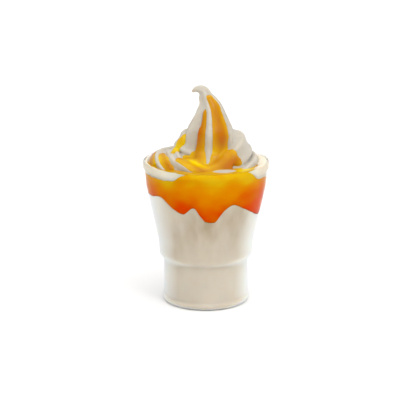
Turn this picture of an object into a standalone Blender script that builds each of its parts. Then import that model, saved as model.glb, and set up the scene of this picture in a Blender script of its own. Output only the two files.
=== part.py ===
"""A mango sundae in a clear plastic cup.

The cup is thin walled, with a rolled rim, a stacking step and a rounded foot. It holds soft
serve, a layer of mango sauce whose lower edge hangs down the wall in drips, and a fluted
soft-serve swirl with a curled tip. The thick sauce on the swirl is part of its solid.

Metres, +Z up. The origin is the centre of the foot's underside, and the front faces -Y.
An azimuth is measured round the cup from its front, and is positive towards +X.
"""

import math

import bpy
import numpy as np

MM = 0.001

# The cup
CUP_HEIGHT = 0.0965
RIM_RADIUS = 0.042  # outside of the rolled rim
RIM_WIDTH = 0.0018
RIM_BAND = 0.0048  # height of the rolled rim
WALL = 0.0007
COLLAR_HEIGHT = 0.080  # bottom of the upright collar under the rim
COLLAR_RADIUS = 0.0399
BAND_HEIGHT = 0.0415  # top of the upright band over the stacking step
BAND_RADIUS = 0.0319
STEP_HEIGHT = 0.0325  # top of the stacking step
STEP_RISE = 0.0022
STEP_RADIUS = 0.0314
BASE_RADIUS = 0.0284  # outside of the straight wall below the step
FOOT_RADIUS = 0.0293
FOOT_ROUND = 0.003
FOOT_RING = 0.0042  # width of the flat ring that the cup stands on
PUNT_RISE = 0.0011  # how far the middle of the floor is raised

# The filling
GAP = 0.0003  # kept between pieces that touch
SAUCE_LEVEL = 0.0953
SAUCE_MIDDLE = 0.0036  # thickness of the sauce layer at the cup's axis
CURTAIN = 0.0100  # how far in from the wall the sauce starts to thicken
CURTAIN_BULGE = 0.75  # under 1, the curtain is thinner half way in
FACE_HEIGHT = 0.0700  # where the face between sauce and soft serve is drawn before its shaping
FACE_INSETS = (0.0240, CURTAIN, 0.0066, 0.0042, 0.0024, 0.0010, 0.0)  # its rings, from the wall
FILL_RING = 0.0520  # height of the fill's ring half way up the taper
SAUCE_RINGS = (0.0, 0.0120, 0.0260)

# Lower edge of the sauce on the wall: (azimuth in degrees, height). The last row is the first
# after a full turn.
DRIPS = (
    (-110, 0.0690),
    (-88, 0.0740),
    (-64, 0.0762),
    (-50, 0.0776),
    (-37, 0.0722),
    (-24, 0.0680),
    (-12.5, 0.0727),
    (-6, 0.0678),
    (-1, 0.0637),
    (5, 0.0629),
    (10.5, 0.0640),
    (17, 0.0700),
    (26, 0.0744),
    (38, 0.0716),
    (64, 0.0634),
    (76, 0.0630),
    (102, 0.0735),
    (126, 0.0655),
    (148, 0.0725),
    (170, 0.0640),
    (196, 0.0740),
    (222, 0.0670),
    (236, 0.0725),
    (250, 0.0690),
)

# The swirl
LOBES = 6  # flutes of the nozzle's star
FLUTE_DEPTH = 0.27  # the spire's, as a share of its radius
RIDGE_SHARPNESS = 1.7
SPIRE_PHASE = -2.0  # azimuth of one ridge, in degrees

# The spire: (height, radius, distance of its axis to the right of the cup's)
SPIRE = (
    (0.0880, 0.0230, 0.0020),
    (0.0965, 0.0226, 0.0018),
    (0.1020, 0.0197, 0.0020),
    (0.1080, 0.0179, 0.0024),
    (0.1163, 0.0172, 0.0027),
    (0.1225, 0.0140, 0.0028),
    (0.1286, 0.0109, 0.0026),
    (0.1327, 0.0089, 0.0021),
    (0.1370, 0.0064, 0.0007),
    (0.1393, 0.0054, -0.0004),
)
CURL_RADIUS = 0.0048
CURL_SWEEP = 150.0
CURL_TIP_RADIUS = 0.0012

# The coil round the spire: (angle in degrees, distance from the axis, height, rope radius).
# The angle grows as the rope climbs, anticlockwise seen from above, from 0 at +X.
COIL = (
    (300, 0.0280, 0.0835, 0.0100),
    (360, 0.0284, 0.0896, 0.0112),
    (450, 0.0280, 0.0898, 0.0114),
    (495, 0.0280, 0.0903, 0.0116),
    (540, 0.0280, 0.0920, 0.0118),
    (585, 0.0262, 0.0902, 0.0114),
    (630, 0.0222, 0.0875, 0.0104),
    (675, 0.0180, 0.0938, 0.0106),
    (720, 0.0188, 0.1030, 0.0120),
    (765, 0.0166, 0.1040, 0.0120),
    (810, 0.0140, 0.1045, 0.0118),
    (855, 0.0122, 0.1055, 0.0110),
    (900, 0.0108, 0.1055, 0.0100),
    (945, 0.0075, 0.1010, 0.0080),
)

# Depth of the coil's flutes as a share of its radius, and how far outwards from its top one of
# its ridges lies, each by the angle of the coil. The rope twists where the coil passes -X.
COIL_FLUTES = ((300, 0.22), (450, 0.24), (500, 0.27), (620, 0.27), (690, 0.17), (945, 0.17))
COIL_PHASES = ((300, -35), (450, -35), (500, -30), (540, 17), (600, 97), (640, 145), (945, 145))

# Short ropes, one that shows as a streak of cream in the sauce in front of the swirl and one
# between the left of the coil and the spire: (x, y, height, rope radius)
SHORT_FLUTES = 0.2
STREAK = (
    (0.002, -0.0285, 0.0926, 0.0020),
    (0.007, -0.0293, 0.0932, 0.0032),
    (0.013, -0.0290, 0.0935, 0.0034),
    (0.018, -0.0272, 0.0930, 0.0030),
    (0.022, -0.0245, 0.0920, 0.0020),
)
SADDLE = (
    (-0.015, -0.017, 0.0950, 0.0040),
    (-0.018, -0.012, 0.0970, 0.0055),
    (-0.020, -0.005, 0.0985, 0.0065),
    (-0.020, 0.002, 0.0985, 0.0070),
    (-0.019, 0.010, 0.0970, 0.0060),
)

# Sauce that fills the spire's flutes: (azimuth of its middle, height of its top and of its
# lower end, half-width at each in degrees, radius at each as a share of the spire's)
STREAMS = (
    (26, 0.1420, 0.0950, 30, 20, 0.97, 0.92),
    (-22, 0.1340, 0.0950, 14, 19, 0.86, 0.91),
    (-38, 0.1030, 0.0930, 28, 28, 1.02, 1.03),
    (12, 0.1075, 0.0985, 5, 15, 0.95, 1.02),
    (-17, 0.1075, 0.0985, 5, 16, 0.95, 1.02),
)
STREAM_EDGE = 4.0  # degrees over which a stream thins out at its sides
STREAM_END = 0.004  # height over which it thins out at its top

# Sauce poured over the coil: (radius as a share of the rope's, its route), with the route's
# points as (x, y, height over the sauce level, reach) in millimetres
POURS = (
    (1.03, ((-16, -19, 3, 6.0), (-8, -24, 3, 8.0), (3, -26, 2, 8.0), (12, -24, 2, 7.0))),
    (1.02, ((-8, -16, 6, 6.0), (2, -17, 6, 5.0))),
    (1.02, ((9, -18, 8, 4.5), (16, -17, 7, 6.0), (19, -15, 4, 5.0))),
    (0.97, ((-14, -4, 19, 4.0), (-17, -5, 15, 4.0), (-20, -5, 10, 4.5))),
    (0.93, ((-37, -11, 2, 5.0), (-37, -5, 3, 5.0), (-36, 3, 5, 4.0))),
    (0.93, ((-25, -24, 1, 4.0), (-29, -14, 6, 4.5), (-29, -7, 8, 3.4))),
)
POUR_EDGE = 0.0012  # distance over which a pour thins out at its sides

ROOM_TOP = 0.17  # top of the room that the swirl is cut to, clear of its tip

# Fineness of the meshes
CUP_STEPS = 60
FILL_STEPS = 72
ROPE_POINTS = 60  # round a rope
COIL_STEPS = 130
SPIRE_STEPS = 32
CURL_STEPS = 16
SHORT_STEPS = 12
VOXEL = 0.0007
RELAXING = 2  # rounds of smoothing that take off the voxels' steps
SWIRL_TRIANGLES = 8600  # before the flat cut, which takes about a third

ICE_CREAM = (0.86, 0.80, 0.70)
MANGO = (0.90, 0.42, 0.03)
CLEAR_PLASTIC = (0.93, 0.95, 0.96)


def clear_scene():
    for obj in list(bpy.data.objects):
        bpy.data.objects.remove(obj)


def new_collection(name):
    collection = bpy.data.collections.new(name)
    bpy.context.scene.collection.children.link(collection)
    return collection


def new_material(name, colour, roughness, transmission=0.0):
    material = bpy.data.materials.new(name)
    material.use_nodes = True
    shader = material.node_tree.nodes["Principled BSDF"]
    shader.inputs["Base Color"].default_value = (*colour, 1.0)
    shader.inputs["Roughness"].default_value = roughness
    shader.inputs["Metallic"].default_value = 0.0
    shader.inputs["Transmission Weight"].default_value = transmission
    return material


def add_object(name, data, collection, material=None):
    obj = bpy.data.objects.new(name, data)
    collection.objects.link(obj)
    if material:
        data.materials.append(material)
    return obj


def evaluated_mesh(obj):
    """The mesh of the object as its modifiers, or its curve's bevel, leave it."""
    graph = bpy.context.evaluated_depsgraph_get()
    return bpy.data.meshes.new_from_object(obj.evaluated_get(graph))


def smooth(share):
    """Eases shares from 0 to 1, and holds them there."""
    share = np.clip(share, 0.0, 1.0)
    return share * share * (3 - 2 * share)


def through(stations, at):
    """Values at a place along stations whose first item is their place, on a smooth curve."""
    for i in range(len(stations) - 1):
        if at <= stations[i + 1][0]:
            break
    before = stations[max(i - 1, 0)]
    start, end = stations[i], stations[i + 1]
    after = stations[min(i + 2, len(stations) - 1)]
    span = end[0] - start[0]
    t = (at - start[0]) / span
    values = []
    for k in range(1, len(start)):
        slope_in = (end[k] - before[k]) / (end[0] - before[0]) * span
        slope_out = (after[k] - start[k]) / (after[0] - start[0]) * span
        values.append(
            (2 * t**3 - 3 * t**2 + 1) * start[k]
            + (t**3 - 2 * t**2 + t) * slope_in
            + (3 * t**2 - 2 * t**3) * end[k]
            + (t**3 - t**2) * slope_out
        )
    return values


def arc(centre_r, centre_z, radius, start, end, count):
    """Profile points round an arc, with its angles in degrees from the outward direction."""
    points = []
    for i in range(count + 1):
        angle = math.radians(start + (end - start) * i / count)
        points.append(
            (centre_r + radius * math.cos(angle), centre_z + radius * math.sin(angle))
        )
    return points


def revolve(name, profile, steps, collection, material):
    """A solid turned about +Z. The profile runs down the outer side."""
    mesh = bpy.data.meshes.new(name)
    points = [(r, 0.0, z) for r, z in profile]
    mesh.from_pydata(points, [(i, i + 1) for i in range(len(points) - 1)], [])
    obj = add_object(name, mesh, collection, material)
    screw = obj.modifiers.new("turn", "SCREW")
    screw.steps = screw.render_steps = steps
    screw.use_merge_vertices = True
    screw.merge_threshold = 0.00005
    screw.use_smooth_shade = True
    return obj


def wall_radius(z):
    """Outside radius of the cup's wall at a height, without the foot and the rim."""
    rim_underside = CUP_HEIGHT - RIM_BAND
    outline = (
        (STEP_HEIGHT - STEP_RISE, BASE_RADIUS),
        (STEP_HEIGHT, STEP_RADIUS),
        (BAND_HEIGHT, BAND_RADIUS),
        (COLLAR_HEIGHT, COLLAR_RADIUS),
        (rim_underside, RIM_RADIUS - RIM_WIDTH + WALL),
    )
    for (low, inner), (high, outer) in zip(outline, outline[1:]):
        if z < high:
            share = max((z - low) / (high - low), 0.0)
            return inner + (outer - inner) * share
    return outline[-1][1]


def room_radius(z):
    """Radius that the filling may reach at a height."""
    return wall_radius(z) - WALL - GAP


def foot_arc(radius, wall_inset, count):
    """Profile of the rounded foot, from the straight wall down to the floor."""
    centre_r = FOOT_RADIUS - FOOT_ROUND
    start = math.degrees(math.acos((BASE_RADIUS - wall_inset - centre_r) / radius))
    return arc(centre_r, FOOT_ROUND, radius, start, -90, count)


def build_cup(collection, material):
    rim_round = RIM_WIDTH / 2
    rim_middle = RIM_RADIUS - rim_round
    rim_underside = CUP_HEIGHT - RIM_BAND
    ring_inner = FOOT_RADIUS - FOOT_ROUND - FOOT_RING
    punt_radius = ring_inner - PUNT_RISE

    inner = [(0.0, WALL + PUNT_RISE), (punt_radius, WALL + PUNT_RISE), (ring_inner, WALL)]
    inner += reversed(foot_arc(FOOT_ROUND - WALL, WALL, 4))
    turns = (STEP_HEIGHT - STEP_RISE, STEP_HEIGHT, BAND_HEIGHT, COLLAR_HEIGHT, rim_underside)
    inner += [(wall_radius(z) - WALL, z) for z in turns]

    rim = arc(rim_middle, CUP_HEIGHT - rim_round, rim_round, 180, 0, 6)
    rim += arc(rim_middle, rim_underside + rim_round, rim_round, 0, -90, 3)

    outer = [(wall_radius(z), z) for z in reversed(turns)]
    outer += foot_arc(FOOT_ROUND, 0.0, 6)
    outer += [(ring_inner, 0.0), (punt_radius, PUNT_RISE), (0.0, PUNT_RISE)]
    return revolve("cup", inner + rim + outer, CUP_STEPS, collection, material)


def drip_height(azimuth):
    """Height of the sauce's lower edge on the wall at an azimuth in degrees."""
    first = DRIPS[0][0]
    return through(DRIPS, first + (azimuth - first) % 360)[0]


def interface_height(azimuth, inset):
    """Height at which the sauce lies on the soft serve, a distance in from the wall."""
    edge = drip_height(azimuth)
    middle = SAUCE_LEVEL - SAUCE_MIDDLE
    share = min(max(inset / CURTAIN, 0.0), 1.0)
    return edge + (middle - edge) * share**CURTAIN_BULGE


def shape_interface(obj, side):
    """Moves the rings drawn at FACE_HEIGHT on to the sauce's lower face."""
    mesh = evaluated_mesh(obj)
    obj.modifiers.clear()
    obj.data = mesh
    reach = room_radius(FACE_HEIGHT)
    for vertex in mesh.vertices:
        if abs(vertex.co.z - FACE_HEIGHT) > 0.01 * GAP:
            continue
        radius = math.hypot(vertex.co.x, vertex.co.y)
        azimuth = math.degrees(math.atan2(vertex.co.x, -vertex.co.y))
        height = interface_height(azimuth, reach - radius) + side
        scale = room_radius(height) / reach if radius > 0.5 * reach else 1.0
        vertex.co = (vertex.co.x * scale, vertex.co.y * scale, height)


def interface_rings():
    """Profile points of the sauce's lower face, from the axis outwards, before shaping."""
    reach = room_radius(FACE_HEIGHT)
    return [(0.0, FACE_HEIGHT)] + [(reach - inset, FACE_HEIGHT) for inset in FACE_INSETS]


def build_fill(collection, material):
    """Soft serve from the cup's floor up to the sauce."""
    floor = WALL + GAP
    ring_inner = FOOT_RADIUS - FOOT_ROUND - FOOT_RING
    profile = interface_rings()
    profile += [(room_radius(z), z) for z in (FILL_RING, BAND_HEIGHT, STEP_HEIGHT + GAP)]
    profile.append((BASE_RADIUS - WALL - GAP, STEP_HEIGHT - STEP_RISE + GAP))
    profile += foot_arc(FOOT_ROUND - WALL - GAP, WALL + GAP, 4)
    profile += [(ring_inner, floor), (ring_inner - PUNT_RISE, floor + PUNT_RISE)]
    profile.append((0.0, floor + PUNT_RISE))
    fill = revolve("soft_serve_fill", profile, FILL_STEPS, collection, material)
    shape_interface(fill, -GAP)
    return fill


def build_sauce(collection, material):
    """The mango sauce layer, which runs through the sundae from wall to wall."""
    profile = [(r, SAUCE_LEVEL) for r in SAUCE_RINGS]
    profile += [(room_radius(z), z) for z in (SAUCE_LEVEL, COLLAR_HEIGHT)]
    profile += reversed(interface_rings())
    sauce = revolve("mango_sauce", profile, FILL_STEPS, collection, material)
    shape_interface(sauce, GAP)
    return sauce


def star(angle, depth):
    """Radius of the nozzle's star, which is 1 on its ridges. One ridge is at 0 degrees."""
    ridge = (0.5 + 0.5 * np.cos(np.radians(LOBES * angle))) ** RIDGE_SHARPNESS
    return 1 - depth * (1 - ridge)


def coil_path():
    """Centres, radii, ridge angles and flute depths along the coil."""
    centres, radii, phases, depths = [], [], [], []
    for angle in np.linspace(COIL[0][0], COIL[-1][0], COIL_STEPS + 1):
        distance, height, radius = through(COIL, angle)
        turn = math.radians(angle)
        centres.append((distance * math.cos(turn), distance * math.sin(turn), height))
        radii.append(radius)
        phases.append(through(COIL_PHASES, angle)[0])
        depths.append(through(COIL_FLUTES, angle)[0])
    return np.array(centres), np.array(radii), np.array(phases), np.array(depths)


def spire_path():
    """The spire from below the sauce up to its neck, then the curled tip."""
    centres, radii = [], []
    for height in np.linspace(SPIRE[0][0], SPIRE[-1][0], SPIRE_STEPS + 1):
        radius, offset = through(SPIRE, height)
        centres.append((offset, 0.0, height))
        radii.append(radius)
    neck, neck_radius = np.array(centres[-1]), radii[-1]
    for i in range(1, CURL_STEPS + 1):
        share = i / CURL_STEPS
        angle = math.radians(CURL_SWEEP * share)
        aside = CURL_RADIUS * (1 - math.cos(angle))
        above = CURL_RADIUS * math.sin(angle)
        centres.append(neck + (-aside, 0.0, above))
        radii.append(neck_radius + (CURL_TIP_RADIUS - neck_radius) * share)
    same = np.ones(len(radii))
    return np.array(centres), np.array(radii), SPIRE_PHASE * same, FLUTE_DEPTH * same


def short_path(table):
    rows = [(i, *row) for i, row in enumerate(table)]
    values = np.array([through(rows, at) for at in np.linspace(0, len(table) - 1, SHORT_STEPS + 1)])
    same = np.ones(len(values))
    return values[:, :3], values[:, 3], 0 * same, SHORT_FLUTES * same


def across(centres, reference):
    """Two unit vectors across a path at each centre: the reference's, and one square to it."""
    along = np.gradient(centres, axis=0)
    along /= np.linalg.norm(along, axis=1)[:, None]
    first = np.array(reference) - along * (along @ np.array(reference))[:, None]
    first /= np.linalg.norm(first, axis=1)[:, None]
    return first, np.cross(along, first)


def rope(path, reference, coat=None):
    """Points and faces of a closed rope. Its ridge angles are measured from the reference
    direction, and coat gives its radius where sauce lies on it."""
    centres, radii, phases, depths = path
    first, second = across(centres, reference)
    angles = np.arange(ROPE_POINTS) * 360 / ROPE_POINTS
    turns = np.radians(angles)[None, :, None]
    out = first[:, None, :] * np.cos(turns) + second[:, None, :] * np.sin(turns)
    radius = radii[:, None] * star(angles[None, :] - phases[:, None], depths[:, None])
    if coat:
        radius = coat(centres, radii, radius, angles, out)
    rings = centres[:, None, :] + out * radius[:, :, None]
    count = len(centres)
    points = np.concatenate([rings.reshape(-1, 3), [rings[0].mean(0), rings[-1].mean(0)]])
    last = (count - 1) * ROPE_POINTS
    start_pole, end_pole = count * ROPE_POINTS, count * ROPE_POINTS + 1
    faces = []
    for j in range(ROPE_POINTS):
        k = (j + 1) % ROPE_POINTS
        faces.append((start_pole, k, j))
        for here in range(0, last, ROPE_POINTS):
            there = here + ROPE_POINTS
            faces.append((here + j, here + k, there + k, there + j))
        faces.append((last + j, last + k, end_pole))
    return points, faces


def streams(centres, radii, cream, angles, out):
    """The spire's radius with sauce in its flutes."""
    height = centres[:, 2][:, None]
    azimuth = ((angles + 180) % 360 - 180)[None, :]
    radius = cream
    for middle, top, bottom, wide_top, wide_bottom, full_top, full_bottom in STREAMS:
        share = np.clip((height - bottom) / (top - bottom), 0, 1)
        half_width = wide_bottom + (wide_top - wide_bottom) * share
        full = radii[:, None] * (full_bottom + (full_top - full_bottom) * share)
        side = smooth((half_width - np.abs(azimuth - middle)) / STREAM_EDGE)
        cover = side * smooth((top - height) / STREAM_END)
        radius = np.maximum(radius, cream + cover * (full - cream))
    return radius


def pours(centres, radii, cream, angles, out):
    """The coil's radius with sauce over it where it was poured."""
    skin = centres[:, None, :] + out * radii[:, None, None]
    radius = cream
    for full, route in POURS:
        cover = np.zeros(cream.shape)
        for (*start, start_reach), (*end, end_reach) in zip(route, route[1:]):
            start = np.array(start) * MM + (0, 0, SAUCE_LEVEL)
            step = np.array(end) * MM + (0, 0, SAUCE_LEVEL) - start
            share = np.clip((skin - start) @ step / (step @ step), 0, 1)
            away = np.linalg.norm(skin - start - share[:, :, None] * step, axis=2)
            reach = (start_reach + (end_reach - start_reach) * share) * MM
            cover = np.maximum(cover, smooth((reach - away) / POUR_EDGE))
        radius = np.maximum(radius, cream + cover * (radii[:, None] * full - cream))
    return radius


def fuse(name, ropes, collection, material):
    """One solid from overlapping ropes, with about SWIRL_TRIANGLES triangles."""
    mesh = bpy.data.meshes.new(name)
    points, faces = [], []
    for rope_points, rope_faces in ropes:
        offset = len(points)
        points += [tuple(point) for point in rope_points]
        faces += [[offset + i for i in face] for face in rope_faces]
    mesh.from_pydata(points, [], faces)
    obj = add_object(name, mesh, collection, material)
    remesh = obj.modifiers.new("fuse", "REMESH")
    remesh.mode = "VOXEL"
    remesh.voxel_size = VOXEL
    remesh.use_smooth_shade = True
    relax = obj.modifiers.new("relax", "SMOOTH")
    relax.iterations = RELAXING
    count = len(evaluated_mesh(obj).polygons) * 2
    thin = obj.modifiers.new("thin", "DECIMATE")
    thin.ratio = SWIRL_TRIANGLES / count
    return obj


def build_swirl(collection, helpers, material):
    """The ropes and their sauce, cut flat where they stand on the sauce layer."""
    up, front = (0, 0, 1), (0, -1, 0)
    ropes = [
        rope(coil_path(), up, pours),
        rope(spire_path(), front, streams),
        rope(short_path(STREAK), up),
        rope(short_path(SADDLE), up),
    ]
    swirl = fuse("swirl", ropes, collection, material)

    low = SAUCE_LEVEL + GAP
    profile = [(0.0, ROOM_TOP), (RIM_RADIUS, ROOM_TOP), (RIM_RADIUS, CUP_HEIGHT + GAP)]
    profile += [(room_radius(low), low), (0.0, low)]
    room = revolve("room_over_sauce", profile, CUP_STEPS, helpers, None)
    room.hide_render = True
    room.display_type = "WIRE"
    cut = swirl.modifiers.new("room", "BOOLEAN")
    cut.operation = "INTERSECT"
    cut.object = room
    return swirl


def main():
    clear_scene()
    sundae = new_collection("mango_sundae_cup")
    helpers = new_collection("helpers")
    soft_serve = new_material("soft_serve", ICE_CREAM, 0.5)
    mango = new_material("mango_sauce", MANGO, 0.15)
    plastic = new_material("clear_plastic", CLEAR_PLASTIC, 0.05, transmission=1.0)
    build_cup(sundae, plastic)
    build_fill(sundae, soft_serve)
    build_sauce(sundae, mango)
    build_swirl(sundae, helpers, soft_serve)


main()
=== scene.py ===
"""The finished look of a mango sundae in a clear plastic cup, over its CAD frame.

Metres, +Z up, in the part's own frame: the front faces -Y, and an azimuth is measured round
the cup from its front, positive towards +X. Sizes that the CAD model has too are the same
here, but for one pour of sauce and for how fine the meshes are.
"""

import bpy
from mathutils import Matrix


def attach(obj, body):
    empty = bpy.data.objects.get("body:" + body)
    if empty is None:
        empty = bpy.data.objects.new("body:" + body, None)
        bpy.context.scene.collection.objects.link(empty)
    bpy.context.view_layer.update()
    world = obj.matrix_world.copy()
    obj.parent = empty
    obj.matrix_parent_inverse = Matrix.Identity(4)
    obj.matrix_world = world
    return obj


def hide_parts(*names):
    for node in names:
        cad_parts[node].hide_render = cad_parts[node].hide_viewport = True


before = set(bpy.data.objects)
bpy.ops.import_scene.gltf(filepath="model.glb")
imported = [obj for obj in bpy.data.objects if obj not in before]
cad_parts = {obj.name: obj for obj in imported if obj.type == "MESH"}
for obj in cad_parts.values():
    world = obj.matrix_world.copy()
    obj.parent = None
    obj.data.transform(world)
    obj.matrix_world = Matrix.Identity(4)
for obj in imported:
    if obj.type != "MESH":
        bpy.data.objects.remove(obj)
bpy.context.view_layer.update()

import math

import bmesh
import bpy
import numpy as np
from mathutils import Vector, noise
from mathutils.bvhtree import BVHTree

# ---------------------------------------------------------------- sizes of the cup
CUP_HEIGHT = 0.0965
RIM_RADIUS = 0.042
RIM_WIDTH = 0.0018
RIM_BAND = 0.0048
WALL = 0.0007
COLLAR_HEIGHT = 0.080
COLLAR_RADIUS = 0.0399
BAND_HEIGHT = 0.0415
BAND_RADIUS = 0.0319
STEP_HEIGHT = 0.0325
STEP_RISE = 0.0022
STEP_RADIUS = 0.0314
BASE_RADIUS = 0.0284
FOOT_RADIUS = 0.0293
FOOT_ROUND = 0.003
FOOT_RING = 0.0042
PUNT_RISE = 0.0011
SIDE_FROM = 0.0065  # height of the side's lowest ring of points, over the foot's round
INTO_WALL = 0.00025  # how far the contents reach into the cup's wall
RIM_UNDERSIDE = CUP_HEIGHT - RIM_BAND
RING_INNER = FOOT_RADIUS - FOOT_ROUND - FOOT_RING  # inner edge of the ring that it stands on
PUNT_RADIUS = RING_INNER - PUNT_RISE
# The outside over the foot, as height and radius, before its corners are rounded.
OUTLINE = (
    (STEP_HEIGHT - STEP_RISE, BASE_RADIUS),
    (STEP_HEIGHT, STEP_RADIUS),
    (BAND_HEIGHT, BAND_RADIUS),
    (COLLAR_HEIGHT, COLLAR_RADIUS),
    (RIM_UNDERSIDE, RIM_RADIUS - RIM_WIDTH + WALL),
)
CORNER_REACH = 0.0012  # how far to each side of a corner its rounding goes
CORNER_SAMPLES = 7
CORNER_RINGS = 4  # extra rings of points on each side of a corner
CORNER_SPACING = 0.0003
CUP_RINGS = 44
CUP_AROUND = 224

# ---------------------------------------------------------------- sizes of the filling
SAUCE_LEVEL = 0.0953
SAUCE_MIDDLE = 0.0036  # depth of the sauce round the axis
CURTAIN = 0.0100  # how far in from the wall the sauce hangs lower
CURTAIN_BULGE = 0.75  # below 1, its lower face rises faster near the wall
# How far in from the wall the points of the sauce's lower face lie.
FACE_INSETS = (
    0.026, 0.018, CURTAIN, 0.0085, 0.007, 0.0056, 0.0044, 0.0034, 0.0025, 0.0018, 0.0012, 0.0007,
    0.0003, 0.0,
)
OVERLAP = 0.0003  # how far the soft serve reaches up into the sauce
SAUCE_LIP = 0.0005  # how far the sauce climbs at the wall
LIP_FROM = 0.9  # share of the sauce's radius where that begins
RIPPLE = 0.00035
RIPPLE_SCALE = 70
RIPPLE_SEED = 1.3
FILL_RINGS = 40
FILL_AROUND = 240
SAUCE_TOP_RINGS = 26
SAUCE_SIDE_RINGS = 34
SAUCE_AROUND = 300
# The colours at the wall rise from a height between a middling one and the edge's own.
MIDDLING_EDGE = 0.066
EDGE_SHARE = 0.4
# Where the soft serve at the wall is darker and browner below the sauce, partly a stain of sauce
# and partly painted shade under the sauce: azimuth and height, how far it spreads in degrees and
# in metres, and how much. The row that spreads over 60 degrees is a broad painted shade over the
# upper fill at the front.
STAINS_AND_PAINTED_SHADE = (
    (0, 0.0600, 26, 0.014, 1.0),
    (38, 0.0640, 24, 0.014, 1.0),
    (-36, 0.0500, 14, 0.020, 0.55),
    (0, 0.0520, 60, 0.016, 0.45),
    (115, 0.0600, 40, 0.012, 0.8),
    (-135, 0.0600, 40, 0.012, 0.8),
)
# Where the sauce at the wall is redder, or yellower where the change is positive: azimuth and
# height, how far it spreads in degrees and in metres, and the change.
WALL_SHADES = (
    (-25, 0.0740, 11, 0.020, -0.17),
    (62, 0.0765, 22, 0.015, -0.27),
    (38, 0.0930, 14, 0.006, 0.14),
    (-40, 0.0895, 10, 0.004, 0.20),
    (41, 0.0875, 9, 0.004, 0.20),
    (43, 0.0800, 10, 0.004, -0.15),
    (-66, 0.0760, 16, 0.014, -0.12),
    (125, 0.0740, 20, 0.020, -0.12),
    (170, 0.0740, 14, 0.020, -0.15),
    (-140, 0.0740, 20, 0.020, -0.12),
)
# The sauce's lower edge on the wall: azimuth and height.
DRIPS = (
    (-110, 0.0690),
    (-88, 0.0740),
    (-64, 0.0762),
    (-50, 0.0776),
    (-37, 0.0722),
    (-24, 0.0680),
    (-12.5, 0.0727),
    (-6, 0.0678),
    (-1, 0.0637),
    (5, 0.0629),
    (10.5, 0.0640),
    (17, 0.0700),
    (26, 0.0744),
    (38, 0.0716),
    (64, 0.0634),
    (76, 0.0630),
    (102, 0.0735),
    (126, 0.0655),
    (148, 0.0725),
    (170, 0.0640),
    (196, 0.0740),
    (222, 0.0670),
    (236, 0.0725),
    (250, 0.0690),
)
# How that edge wanders from its drips: height, scale and seed of each layer of noise.
DRIP_WANDER = ((0.0006, 6.0, 3.1), (0.0003, 15.0, 7.7))

# Cream between the sauce and the rim, everywhere but at the front.
RIM_CREAM_FROM = 42.0
RIM_CREAM_TO = 340.0
RIM_CREAM_END = 0.05  # share of its arc over which it thins out at each end
RIM_CREAM_TOP = 0.0958
RIM_CREAM_DROP = 0.0060  # how far down the wall it reaches
RIM_CREAM_WIDTH = 0.0016
RIM_CREAM_THIN = 0.0003  # width and height at its ends
RIM_CREAM_WIDE = 84.0  # azimuth where it reaches in to the swirl
RIM_CREAM_SPREAD = 26.0  # degrees over which it does
RIM_CREAM_WIDER = 3.5  # how many of its widths it gains there
RIM_CREAM_WAVES = (9.0, 2.2)  # scale and seed of its unevenness
RIM_CREAM_CREST = 0.0004  # how far its waves rise over its top
RIM_CREAM_DIVE = 0.0006  # how far its top sinks at its ends
RIM_CREAM_SHOULDER = 0.0005  # how far under its top its inner side begins
RIM_CREAM_EDGE = 0.0002  # and its outer side
RIM_CREAM_PROUD = 0.0001  # how much further than the sauce it reaches into the wall
RIM_CREAM_STEPS = 220

# ---------------------------------------------------------------- sizes of the swirl
LOBES = 6
FLUTE_DEPTH = 0.27  # of the spire, as a share of its radius
RIDGE_SHARPNESS = 1.7
SPIRE_PHASE = -2.0  # azimuth of one of its ridges
# The spire: height, radius, and how far its middle lies towards +X.
SPIRE = (
    (0.0880, 0.0230, 0.0020),
    (0.0965, 0.0226, 0.0018),
    (0.1020, 0.0197, 0.0020),
    (0.1080, 0.0179, 0.0024),
    (0.1163, 0.0172, 0.0027),
    (0.1225, 0.0140, 0.0028),
    (0.1286, 0.0109, 0.0026),
    (0.1327, 0.0089, 0.0021),
    (0.1370, 0.0064, 0.0007),
    (0.1393, 0.0054, -0.0004),
)
CURL_RADIUS = 0.0048
CURL_SWEEP = 150.0
CURL_TIP_RADIUS = 0.0012
CURL_FROM = 0.1355  # height over which the flutes soften into the tip
# The coil: angle from +X, anticlockwise, how far the rope's middle is from the axis, its
# height and the rope's radius.
COIL = (
    (300, 0.0280, 0.0835, 0.0100),
    (360, 0.0284, 0.0896, 0.0112),
    (450, 0.0280, 0.0898, 0.0114),
    (495, 0.0280, 0.0903, 0.0116),
    (540, 0.0280, 0.0920, 0.0118),
    (585, 0.0262, 0.0902, 0.0114),
    (630, 0.0222, 0.0875, 0.0104),
    (675, 0.0180, 0.0938, 0.0106),
    (720, 0.0188, 0.1030, 0.0120),
    (765, 0.0166, 0.1040, 0.0120),
    (810, 0.0140, 0.1045, 0.0118),
    (855, 0.0122, 0.1055, 0.0110),
    (900, 0.0108, 0.1055, 0.0100),
    (945, 0.0075, 0.1010, 0.0080),
)
# At an angle of the coil, how deep its flutes are as a share of its radius, and how many
# degrees outwards from its top one of its ridges lies. The rope twists where it passes -X.
COIL_FLUTES = ((300, 0.22), (450, 0.24), (500, 0.27), (620, 0.27), (690, 0.17), (945, 0.17))
COIL_PHASES = ((300, -35), (450, -35), (500, -30), (540, 17), (600, 97), (640, 145), (945, 145))

# Short ropes of cream, one that shows as a streak in the sauce in front of the swirl and one
# between the left of the coil and the spire: x, y and height of the middle, and the radius, in
# millimetres.
STREAK = (
    (2, -28.5, 92.6, 2.0),
    (7, -29.3, 93.2, 3.2),
    (13, -29.0, 93.5, 3.4),
    (18, -27.2, 93.0, 3.0),
    (22, -24.5, 92.0, 2.0),
)
SHORT_FLUTES = 0.2
SADDLE = (
    (-15, -17, 95.0, 4.0),
    (-18, -12, 97.0, 5.5),
    (-20, -5, 98.5, 6.5),
    (-20, 2, 98.5, 7.0),
    (-19, 10, 97.0, 6.0),
)

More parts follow.
